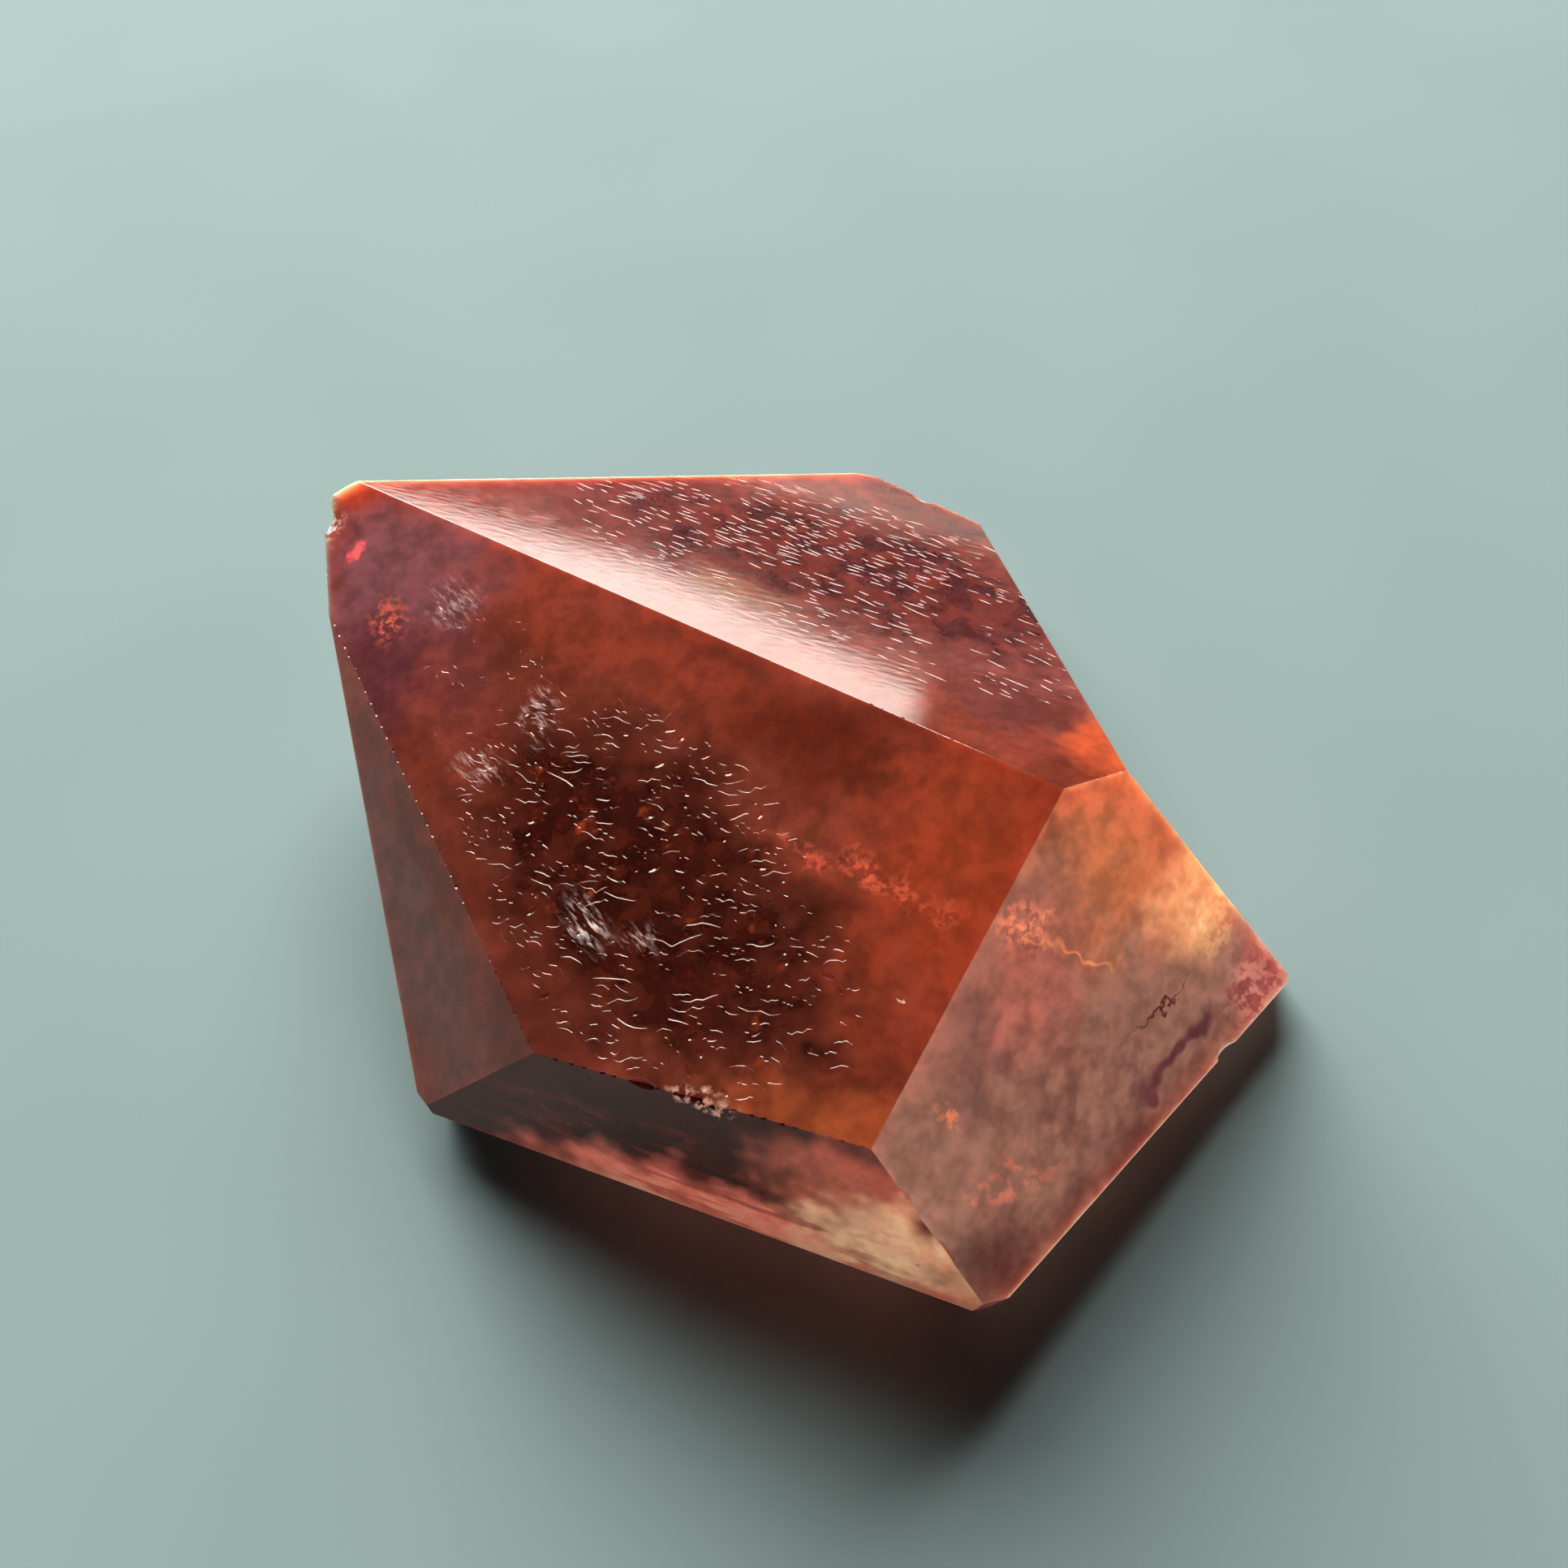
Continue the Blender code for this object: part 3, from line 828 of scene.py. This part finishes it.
@dataclass(frozen=True)
class QuartzFinishAndPaintedLight:
    """Glassy red-brown quartz with rust clouds, with painted glow where window light shines
    through the stone and painted glints on its chipped tip and edges.
    """

    ground: Colour = (0.22, 0.045, 0.026)
    dark: Colour = (0.14, 0.026, 0.015)
    absorb: Colour = (0.90, 0.16, 0.08)
    absorb_density: float = 45.0
    transmission: float = 0.50
    glow_radius: Colour = (1.0, 0.40, 0.30)
    glow_depth: float = 9.0
    ior: float = 1.544
    shine: Colour = (1.0, 0.84, 0.74)
    roughness: Span = (0.0315, 0.072)
    bump_strength: float = 0.30
    bump_depth: float = 0.006
    edge_blend: float = 0.03
    small_cloud: float = 4.6
    small_shake: Pattern = Pattern(0.8, 3, 0.6, (-1.2, 1.2))
    large_shake: Pattern = Pattern(0.25, 3, 0.6, (-4.0, 4.0))
    ground_noise: Pattern = Pattern(0.10, 2, 0.55, (0.40, 0.64))
    mottle_noise: Pattern = Pattern(0.50, 3, 0.70, (0.30, 0.72))
    mottle: Span = (0.78, 1.24)
    polish_noise: Pattern = Pattern(0.8, 2, 0.55, (0.35, 0.70))
    ripple_noise: Pattern = Pattern(2.6, 1, 0.5, (0.0, 1.0), (3.0, 1.0, 1.0), -14)
    grain_noises: tuple[tuple[Grain, Pattern], ...] = (
        (Grain.PATCHY, Pattern(0.40, 3, 0.62, (0.40, 0.62))),
        (Grain.FLECKED, Pattern(0.55, 3, 0.62, (0.62, 0.76))),
        (Grain.FEATHERED, Pattern(2.8, 3, 0.75, (0.46, 0.70), (4.0, 1.0, 1.0), -48)),
        (Grain.CURDLED, Pattern(1.6, 3, 0.60, (0.42, 0.60))),
        (Grain.STREAKED, Pattern(0.9, 3, 0.62, (0.46, 0.60), (6.0, 1.0, 1.0), -18)))
    main_clouds: tuple[Cloud, ...] = (
        Cloud((-29.0, 15.5, 14.8), (9.0, 8.0, 5.0), (0.21, 0.078, 0.09), 0.9),
        Cloud((-26.0, 6.5, 14.8), (6.0, 4.5, 4.0), (0.19, 0.042, 0.04), 0.8, -52, 0.8),
        Cloud((-31.0, 7.0, 13.5), (4.0, 6.5, 4.0), (0.12, 0.028, 0.038), 0.8),
        Cloud((-11.0, 6.5, 17.5), (20.0, 3.2, 4.0), (0.27, 0.046, 0.022), 0.8, -30, 0.8),
        Cloud((1.0, -1.0, 18.6), (8.0, 3.6, 3.0), (0.12, 0.016, 0.008), 0.85, -30, 0.8),
        Cloud((11.0, -12.0, 18.8), (8.5, 15.0, 5.0), (0.30, 0.046, 0.017), 0.95, -20, 0.7),
        Cloud((2.0, -27.0, 15.8), (9.0, 2.6, 3.0), (0.36, 0.082, 0.026), 0.8, -20, 0.7),
        Cloud((-9.8, -10.5, 15.0), (17.5, 9.4, 5.0), (0.066, 0.01, 0.005), 0.97, -52, 0.4),
        Cloud((-9.8, -10.5, 15.0), (17.0, 9.5, 4.0), (0.026, 0.004, 0.003), 0.70, -52, 0.5,
              Grain.PATCHY),
        Cloud((-9.8, -11.5, 15.0), (17.0, 9.2, 4.0), (0.42, 0.06, 0.014), 0.70, -52, 0.6,
              Grain.FLECKED))
    veils: tuple[Cloud, ...] = tuple(
        Cloud(middle, half, colour, strength, heading, 0.9, Grain.FEATHERED)
        for middle, half, colour, strength, heading in (
            ((-25.3, 12.6, 15.6), (2.0, 2.0, 2.0), (0.80, 0.55, 0.57), 0.7, 0),
            ((-18.2, 2.8, 15.7), (1.3, 2.4, 2.0), (0.85, 0.62, 0.60), 0.7, 0),
            ((-22.3, -0.9, 14.5), (2.0, 1.1, 2.0), (0.85, 0.62, 0.58), 0.7, -20),
            ((-14.0, -12.9, 14.5), (1.2, 2.2, 2.0), (1.0, 0.86, 0.82), 0.9, 30),
            ((-10.5, -14.5, 15.0), (1.2, 1.0, 2.0), (0.88, 0.70, 0.67), 0.7, 0)))
    # Painted glints and glow: the bright peach spots stand in for light catching the chipped tip,
    # the chip on the front edge and the edge by the front shoulder. The red and orange patches are
    # partly the stone's own colour and partly painted glow of light shining through it.
    painted_glints_and_glow: tuple[Cloud, ...] = (
        Cloud((4.8, -11.2, 17.8), (7.0, 0.9, 2.0), (0.80, 0.16, 0.08), 0.7, -30, 0.9,
              Grain.CURDLED),
        Cloud((6.6, -19.6, 17.2), (0.40, 0.24, 0.6), (1.0, 0.78, 0.70), 0.95, 0, 0.5),
        Cloud((-36.4, 20.8, 14.8), (1.7, 1.7, 1.4), (1.0, 0.60, 0.56), 0.9, 0, 0.7, Grain.CURDLED),
        Cloud((-6.1, -25.2, 14.6), (2.4, 0.9, 1.2), (1.0, 0.64, 0.50), 0.9, -20, 0.6,
              Grain.CURDLED),
        Cloud((-30.3, 11.8, 14.6), (1.5, 2.1, 1.5), (0.80, 0.18, 0.12), 0.95, 0, 0.9,
              Grain.CURDLED),
        Cloud((-33.4, 18.3, 14.8), (0.5, 1.1, 1.0), (0.95, 0.13, 0.15), 0.9, -30, 0.6))
    back_clouds: tuple[Cloud, ...] = (
        Cloud((0.0, 16.0, 12.0), (36.0, 17.0, 8.0), (0.21, 0.066, 0.056), 0.95, -20, 0.3),
        Cloud((5.0, 18.0, 11.0), (26.0, 12.0, 6.0), (0.13, 0.024, 0.018), 0.9, -20, 0.6),
        Cloud((5.0, 18.0, 11.0), (25.0, 11.0, 6.0), (0.06, 0.014, 0.018), 0.8, -20, 0.4,
              Grain.PATCHY),
        Cloud((15.0, 2.5, 17.5), (7.0, 4.0, 4.0), (0.12, 0.032, 0.028), 0.85, -30, 0.7),
        Cloud((21.0, -1.5, 17.5), (3.0, 4.0, 4.0), (0.48, 0.085, 0.03), 0.85, -30))
    # The right facet: the gold and orange patches and bright streaks near its top are painted
    # glow, standing in for window light shining through the stone. Its light pinkish tone is
    # partly the stone's colour and partly painted glow.
    right_clouds_and_painted_glow: tuple[Cloud, ...] = (
        Cloud((21.0, -20.0, 8.5), (24.0, 28.0, 14.0), (0.35, 0.172, 0.128), 1.0, -30, 0.2),
        Cloud((21.5, -8.0, 15.5), (9.5, 8.0, 7.0), (0.62, 0.20, 0.086), 0.95, -30, 0.7),
        Cloud((28.0, -9.5, 10.5), (4.5, 4.8, 4.0), (1.0, 0.46, 0.22), 0.95, -30, 0.7),
        Cloud((28.8, -10.4, 9.4), (3.2, 2.4, 2.5), (1.0, 0.66, 0.34), 0.7, -30, 0.8,
              Grain.CURDLED),
        Cloud((15.0, -16.5, 15.0), (5.0, 6.0, 4.0), (0.47, 0.15, 0.112), 0.85, 30, 0.8),
        Cloud((14.8, -14.5, 17.4), (3.4, 1.5, 2.0), (1.0, 0.34, 0.19), 0.9, 0, 0.7, Grain.CURDLED),
        Cloud((18.8, -14.9, 14.0), (5.0, 0.26, 3.0), (0.95, 0.36, 0.15), 0.8, 0, 0.9),
        Cloud((11.5, -22.0, 14.5), (3.2, 5.0, 3.0), (0.19, 0.086, 0.08), 0.8, 30, 0.8),
        Cloud((18.5, -22.5, 9.0), (9.0, 5.5, 5.0), (0.13, 0.05, 0.045), 0.55, 30, 0.8,
              Grain.PATCHY),
        Cloud((26.3, -18.8, 5.2), (5.5, 1.1, 3.0), (0.12, 0.036, 0.046), 0.95, 42, 0.5),
        Cloud((33.5, -12.0, 4.0), (4.0, 4.0, 3.0), (0.58, 0.25, 0.21), 0.9, 0, 0.6),
        Cloud((33.0, -13.0, 4.0), (4.0, 4.0, 3.0), (0.26, 0.05, 0.055), 0.8, 0, 0.6,
              Grain.STREAKED),
        Cloud((22.0, -26.5, 3.0), (14.0, 3.0, 4.0), (0.10, 0.032, 0.028), 0.85, 42, 0.8),
        Cloud((12.5, -33.0, 6.0), (4.5, 3.2, 4.0), (0.10, 0.03, 0.022), 0.9, 30, 0.8),
        Cloud((25.1, -16.3, 8.0), (3.6, 0.14, 3.0), (0.08, 0.012, 0.012), 0.95, 42, 0.9),
        Cloud((9.4, -26.0, 13.9), (1.8, 0.6, 1.5), (0.85, 0.26, 0.13), 0.85, -30, 0.8,
              Grain.CURDLED),
        Cloud((13.8, -28.4, 8.5), (5.5, 0.9, 3.0), (0.66, 0.21, 0.14), 0.75, 30, 0.9,
              Grain.STREAKED))
    # The front facet: the peach and pink band near its foot is painted glow, standing in for
    # window light shining through the stone. The bright spot at the chip on its top edge is a
    # painted glint.
    front_clouds_and_painted_glow: tuple[Cloud, ...] = (
        Cloud((-10.0, -26.0, 8.0), (30.0, 12.0, 14.0), (0.036, 0.005, 0.004), 1.0, -20, 0.2),
        Cloud((-12.0, -25.5, 7.5), (13.0, 3.0, 4.0), (0.15, 0.02, 0.014), 0.6, -20, 0.8,
              Grain.STREAKED),
        Cloud((2.8, -29.6, 11.0), (5.8, 4.0, 5.0), (0.52, 0.14, 0.088), 0.95, -20, 0.6),
        Cloud((-3.5, -30.0, 3.2), (16.0, 4.0, 4.3), (1.0, 0.27, 0.19), 0.97, -20, 0.5),
        Cloud((6.0, -32.0, 7.0), (6.8, 3.2, 4.2), (1.0, 0.60, 0.37), 1.0, -20, 0.6),
        Cloud((-2.0, -30.0, 4.6), (14.0, 3.5, 3.5), (0.20, 0.035, 0.026), 0.6, -20, 0.6,
              Grain.STREAKED),
        Cloud((8.4, -32.9, 7.0), (1.7, 0.6, 0.6), (0.14, 0.022, 0.012), 0.9, -30, 0.6),
        Cloud((-6.1, -25.4, 14.6), (2.2, 1.0, 1.1), (1.0, 0.66, 0.54), 0.9, -20, 0.6,
              Grain.CURDLED))
    left_clouds_and_painted_glint: tuple[Cloud, ...] = (
        Cloud((-29.0, -7.0, 6.5), (5.0, 20.0, 6.0), (0.18, 0.064, 0.052), 0.9, 30, 0.4),
        # A painted glint: this bright pink spot stands in for light catching the chipped tip.
        Cloud((-36.8, 20.4, 14.2), (1.7, 1.7, 1.6), (1.0, 0.60, 0.56), 0.9, 0, 0.7, Grain.CURDLED))

    def shake(self, nodes: MaterialNodes, pattern: Pattern) -> Socket:
        """An offset made of noise, whose span is how far it reaches in millimetres."""
        low, high = pattern.span
        three_noises = nodes.noise(pattern, "Color")
        return nodes.vector("MULTIPLY_ADD", three_noises, [high - low] * 3, [low] * 3)

    def turned(self, nodes: MaterialNodes, heading: float) -> Socket:
        """The place in millimetres, turned about Z."""
        place = nodes.vector("MULTIPLY", nodes.place, [1 / MM] * 3)
        if not heading:
            return place
        turn = nodes.add("ShaderNodeVectorRotate", rotation_type="Z_AXIS")
        turn.inputs["Angle"].default_value = math.radians(-heading)
        nodes.link(place, turn.inputs["Vector"])
        return turn.outputs["Vector"]

    def space(self, nodes: MaterialNodes, heading: float, shake: Pattern) -> Socket:
        """The place in millimetres, turned about Z and shaken by noise.

        Args:
            nodes: the material's nodes.
            heading: the turn in degrees.
            shake: the noise that moves a point.

        Returns:
            The shaken place.
        """
        turned = nodes.shared(heading, lambda: self.turned(nodes, heading))
        return nodes.vector("ADD", turned, nodes.shared(shake, lambda: self.shake(nodes, shake)))

    def clouded(self, nodes: MaterialNodes, colour: Socket, clouds: Sequence[Cloud],
                grains: dict[Grain, Socket]) -> Socket:
        """Lay clouds over a colour, one after the other."""
        for cloud in clouds:
            small = max(cloud.half) < self.small_cloud
            shake = self.small_shake if small else self.large_shake
            space = nodes.shared((cloud.heading, shake),
                                 lambda: self.space(nodes, cloud.heading, shake))
            colour = cloud.over(nodes, colour, space, grains)
        return colour

    def height_over(self, nodes: MaterialNodes, facet: Facet) -> Socket:
        """How far a point lies above a facet's plane, in millimetres."""
        point, normal = facet.plane()
        height = nodes.vector("DOT_PRODUCT", nodes.place, normal / MM)
        return nodes.maths("SUBTRACT", height, point.dot(normal))

    def colour(self, nodes: MaterialNodes) -> Socket:
        """The stone's colour all over, with its painted glow and glints, which changes at the
        edges between the facets.
        """
        grains = {grain: nodes.step(pattern) for grain, pattern in self.grain_noises}
        ground = nodes.mix(nodes.step(self.ground_noise), self.ground, self.dark)
        # The main facet's clouds, with the painted glints and glow, and then the veils.
        main_clouds = (*self.main_clouds, *self.painted_glints_and_glow, *self.veils)
        colour = self.clouded(nodes, ground, main_clouds, grains)
        top = self.height_over(nodes, Face.MAIN)
        for facet, clouds in ((Face.BACK, self.back_clouds), (Face.LEFT, self.left_clouds_and_painted_glint),
                              (Face.RIGHT, self.right_clouds_and_painted_glow), (Face.FRONT, self.front_clouds_and_painted_glow)):
            height = self.height_over(nodes, facet)
            lead = nodes.maths("SUBTRACT", height, top)
            share = nodes.ramp(lead, -self.edge_blend, self.edge_blend)
            colour = nodes.mix(share, colour, self.clouded(nodes, ground, clouds, grains))
            top = nodes.maths("MAXIMUM", top, height)
        scaled = nodes.add("ShaderNodeVectorMath", operation="SCALE")
        nodes.link(colour, scaled.inputs[0])
        nodes.link(nodes.step(self.mottle_noise, *self.mottle), scaled.inputs["Scale"])
        return scaled.outputs["Vector"]

    def material(self) -> bpy.types.Material:
        """Build the stone's material."""
        nodes = MaterialNodes("red_quartz")
        shader = nodes.shader
        shader.inputs["IOR"].default_value = self.ior
        shader.inputs["Transmission Weight"].default_value = self.transmission
        shader.inputs["Metallic"].default_value = 0.0
        shader.inputs["Specular Tint"].default_value = (*self.shine, 1.0)
        shader.inputs["Subsurface Weight"].default_value = 1.0
        shader.inputs["Subsurface Radius"].default_value = self.glow_radius
        shader.inputs["Subsurface Scale"].default_value = self.glow_depth * MM
        nodes.link(self.colour(nodes), shader.inputs["Base Color"])
        rough = nodes.step(self.polish_noise, *self.roughness)
        nodes.link(rough, shader.inputs["Roughness"])
        bump = nodes.add("ShaderNodeBump")
        bump.inputs["Strength"].default_value = self.bump_strength
        bump.inputs["Distance"].default_value = self.bump_depth * MM
        nodes.link(nodes.noise(self.ripple_noise), bump.inputs["Height"])
        nodes.link(bump.outputs["Normal"], shader.inputs["Normal"])
        absorb = nodes.add("ShaderNodeVolumeAbsorption")
        absorb.inputs["Color"].default_value = (*self.absorb, 1.0)
        absorb.inputs["Density"].default_value = self.absorb_density
        nodes.link(absorb.outputs["Volume"], nodes.output.inputs["Volume"])
        return nodes.material


# ---------------------------------------------------------------- the studio


@dataclass(frozen=True)
class Panel:
    """A soft light: a rectangle seen from the stone between two headings and two heights.

    A mirrored panel shows in the polish. One that isn't lights the stone alone where
    stone_only is set.
    """

    name: str
    distance: float
    headings: Span
    heights: Span
    radiance: float
    tint: Colour
    mirrored: bool = True
    stone_only: bool = False

    def build(self, stone: Object) -> Object:
        """Add the light. Heading 0 is straight behind the stone, 90 to its right."""
        middle = math.radians(sum(self.headings) / 2)
        half_turn = math.radians(self.headings[1] - self.headings[0]) / 2
        low, high = (self.distance * math.tan(math.radians(angle)) for angle in self.heights)
        data = bpy.data.lights.new(self.name, "AREA")
        data.shape = "RECTANGLE"
        data.size = 2 * self.distance * math.tan(half_turn)
        data.size_y = high - low
        data.energy = self.radiance * math.pi * data.size * data.size_y
        data.color = self.tint
        light = bpy.data.objects.new(self.name, data)
        bpy.context.collection.objects.link(light)
        light.location = (self.distance * math.sin(middle), self.distance * math.cos(middle),
                          (low + high) / 2)
        light.rotation_euler = (math.radians(90), 0.0, math.pi - middle)
        light.visible_camera = False
        light.visible_glossy = self.mirrored
        if self.stone_only:
            lit = bpy.data.collections.new("lit_by_" + self.name)
            lit.objects.link(stone)
            light.light_linking.receiver_collection = lit
        return light


@dataclass(frozen=True)
class Window(Panel):
    """A soft light that fades in above a sill, which climbs to the right, and at both ends.

    The angles are in degrees as seen from the stone's back facet. The light is dimmer
    under the clear height than above it.
    """

    seen_from: Point = (0.0, 0.015, 0.0145)
    sill: float = 2.85
    climb: float = 0.16
    climb_from: float = 2.5
    fade: float = 1.5
    end_fade: float = 1.6
    dim: float = 1.0
    clear: Span = (8.0, 13.0)

    def turn_on(self, nodes: Nodes, angle: Socket, degrees: Span, start: float,
                end: float) -> Socket:
        """A smooth step from one strength to another between two angles."""
        low, high = (math.radians(limit) for limit in degrees)
        return nodes.ramp(angle, low, high, start, end)

    def build(self, stone: Object) -> Object:
        """Add the light with its fading edges."""
        light = super().build(stone)
        light.data.use_nodes = True
        nodes = Nodes(light.data.node_tree)
        position = nodes.add("ShaderNodeNewGeometry").outputs["Position"]
        parts = nodes.add("ShaderNodeSeparateXYZ")
        nodes.link(nodes.vector("SUBTRACT", position, self.seen_from), parts.inputs["Vector"])
        across, along, up = (parts.outputs[axis] for axis in "XYZ")
        heading = nodes.maths("ARCTAN2", across, along)
        height = nodes.maths("ARCTAN2", up, along)
        past = nodes.maths("SUBTRACT", heading, math.radians(self.climb_from))
        rise = nodes.maths("MULTIPLY", nodes.maths("MAXIMUM", past, 0.0), self.climb)
        left, right = self.headings
        share = nodes.maths(
            "MULTIPLY",
            self.turn_on(nodes, nodes.maths("SUBTRACT", height, rise),
                         (self.sill, self.sill + self.fade), 0.0, 1.0),
            self.turn_on(nodes, height, self.clear, self.dim, 1.0))
        ends = nodes.maths(
            "MULTIPLY",
            self.turn_on(nodes, heading, (left, left + self.end_fade), 0.0, 1.0),
            self.turn_on(nodes, heading, (right - self.end_fade, right), 1.0, 0.0))
        share = nodes.maths("MULTIPLY", share, ends)
        emission = next(node for node in nodes.tree.nodes if node.type == "EMISSION")
        nodes.link(share, emission.inputs["Strength"])
        return light


@dataclass(frozen=True)
class Studio:
    """The plain floor, the soft lights and the camera."""

    floor_half: float = 2.5
    floor_drop: float = 0.0002
    floor_corners: int = 96
    floor_colour: Colour = (0.27, 0.385, 0.385)
    floor_lift: float = 1.03
    floor_noise: Pattern = Pattern(0.05, 1, 0.55, (0.3, 0.7))
    floor_roughness: float = 0.9
    floor_shine: float = 0.2
    world: Colour = (0.018, 0.018, 0.019)
    camera_place: Point = (-0.85, -57.54, 108.0)
    camera_drop: float = 59.4
    camera_lens: float = 35.68
    camera_sensor: float = 36.0
    camera_near: float = 5.0
    bounces: int = 4
    transmission_bounces: int = 2
    diffuse_bounces: int = 2
    glossy_bounces: int = 2
    panels: tuple[Panel, ...] = (
        Window("sky", 1.1, (-46.0, 15.2), (3.2, 44.0), 17.5, (1.0, 0.95, 0.90), dim=0.42),
        Window("garden", 1.2, (3.5, 10.5), (2.2, 4.6), 1.5, (0.80, 0.85, 0.40),
               sill=2.2, fade=1.0),
        Panel("fill", 0.6, (118.0, 166.0), (3.0, 26.0), 20.5, (1.0, 0.96, 0.90),
              mirrored=False, stone_only=True))

    def floor(self) -> Object:
        """Add the plain pale floor just under the resting face."""
        deselect()
        bpy.ops.mesh.primitive_circle_add(vertices=self.floor_corners, radius=self.floor_half,
                                          fill_type="NGON",
                                          location=(0.0, 0.0, -self.floor_drop))
        floor = named("floor")
        nodes = MaterialNodes("plain_floor")
        pale = tuple(value * self.floor_lift for value in self.floor_colour)
        shade = nodes.mix(nodes.step(self.floor_noise), self.floor_colour, pale)
        nodes.link(shade, nodes.shader.inputs["Base Color"])
        nodes.shader.inputs["Roughness"].default_value = self.floor_roughness
        nodes.shader.inputs["Specular IOR Level"].default_value = self.floor_shine
        floor.data.materials.append(nodes.material)
        return floor

    def lights(self, stone: Object) -> None:
        """Add the soft lights and the dim room."""
        for panel in self.panels:
            panel.build(stone)
        world = bpy.data.worlds.new("room")
        world.use_nodes = True
        world.node_tree.nodes["Background"].inputs["Color"].default_value = (*self.world, 1.0)
        bpy.context.scene.world = world

    def camera(self) -> None:
        """Add the camera, looking down at the stone from the front."""
        data = bpy.data.cameras.new("camera")
        data.lens = self.camera_lens
        data.sensor_width = self.camera_sensor
        data.clip_start = self.camera_near * MM
        camera = bpy.data.objects.new("camera", data)
        bpy.context.collection.objects.link(camera)
        camera.location = Vector(self.camera_place) * MM
        camera.rotation_euler = (math.radians(90 - self.camera_drop), 0.0, 0.0)
        bpy.context.scene.camera = camera

    def build(self, stone: Object) -> None:
        """Set up the whole studio round the stone."""
        self.camera()
        self.lights(stone)
        self.floor()
        scene = bpy.context.scene
        scene.view_settings.view_transform = "Standard"
        scene.cycles.max_bounces = self.bounces
        scene.cycles.transmission_bounces = self.transmission_bounces
        scene.cycles.diffuse_bounces = self.diffuse_bounces
        scene.cycles.glossy_bounces = self.glossy_bounces


# ---------------------------------------------------------------- making it


def declare(piece: Object) -> None:
    """Let a piece ride on the stone's body and log how many faces it has."""
    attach(piece, BODY)
    LOG.info("%s: %d faces", piece.name, len(piece.data.polygons))


def main() -> None:
    """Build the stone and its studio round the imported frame."""
    logging.basicConfig(level=logging.INFO, format="%(name)s: %(message)s")
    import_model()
    stone_shape = Stone()
    stone = stone_shape.build()
    EtchedMarks().etch(stone, stone_shape.planes())
    stone.data.materials.append(QuartzFinishAndPaintedLight().material())
    declare(stone)
    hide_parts(NODE)
    Studio().build(stone)


if __name__ == "__main__":
    main()
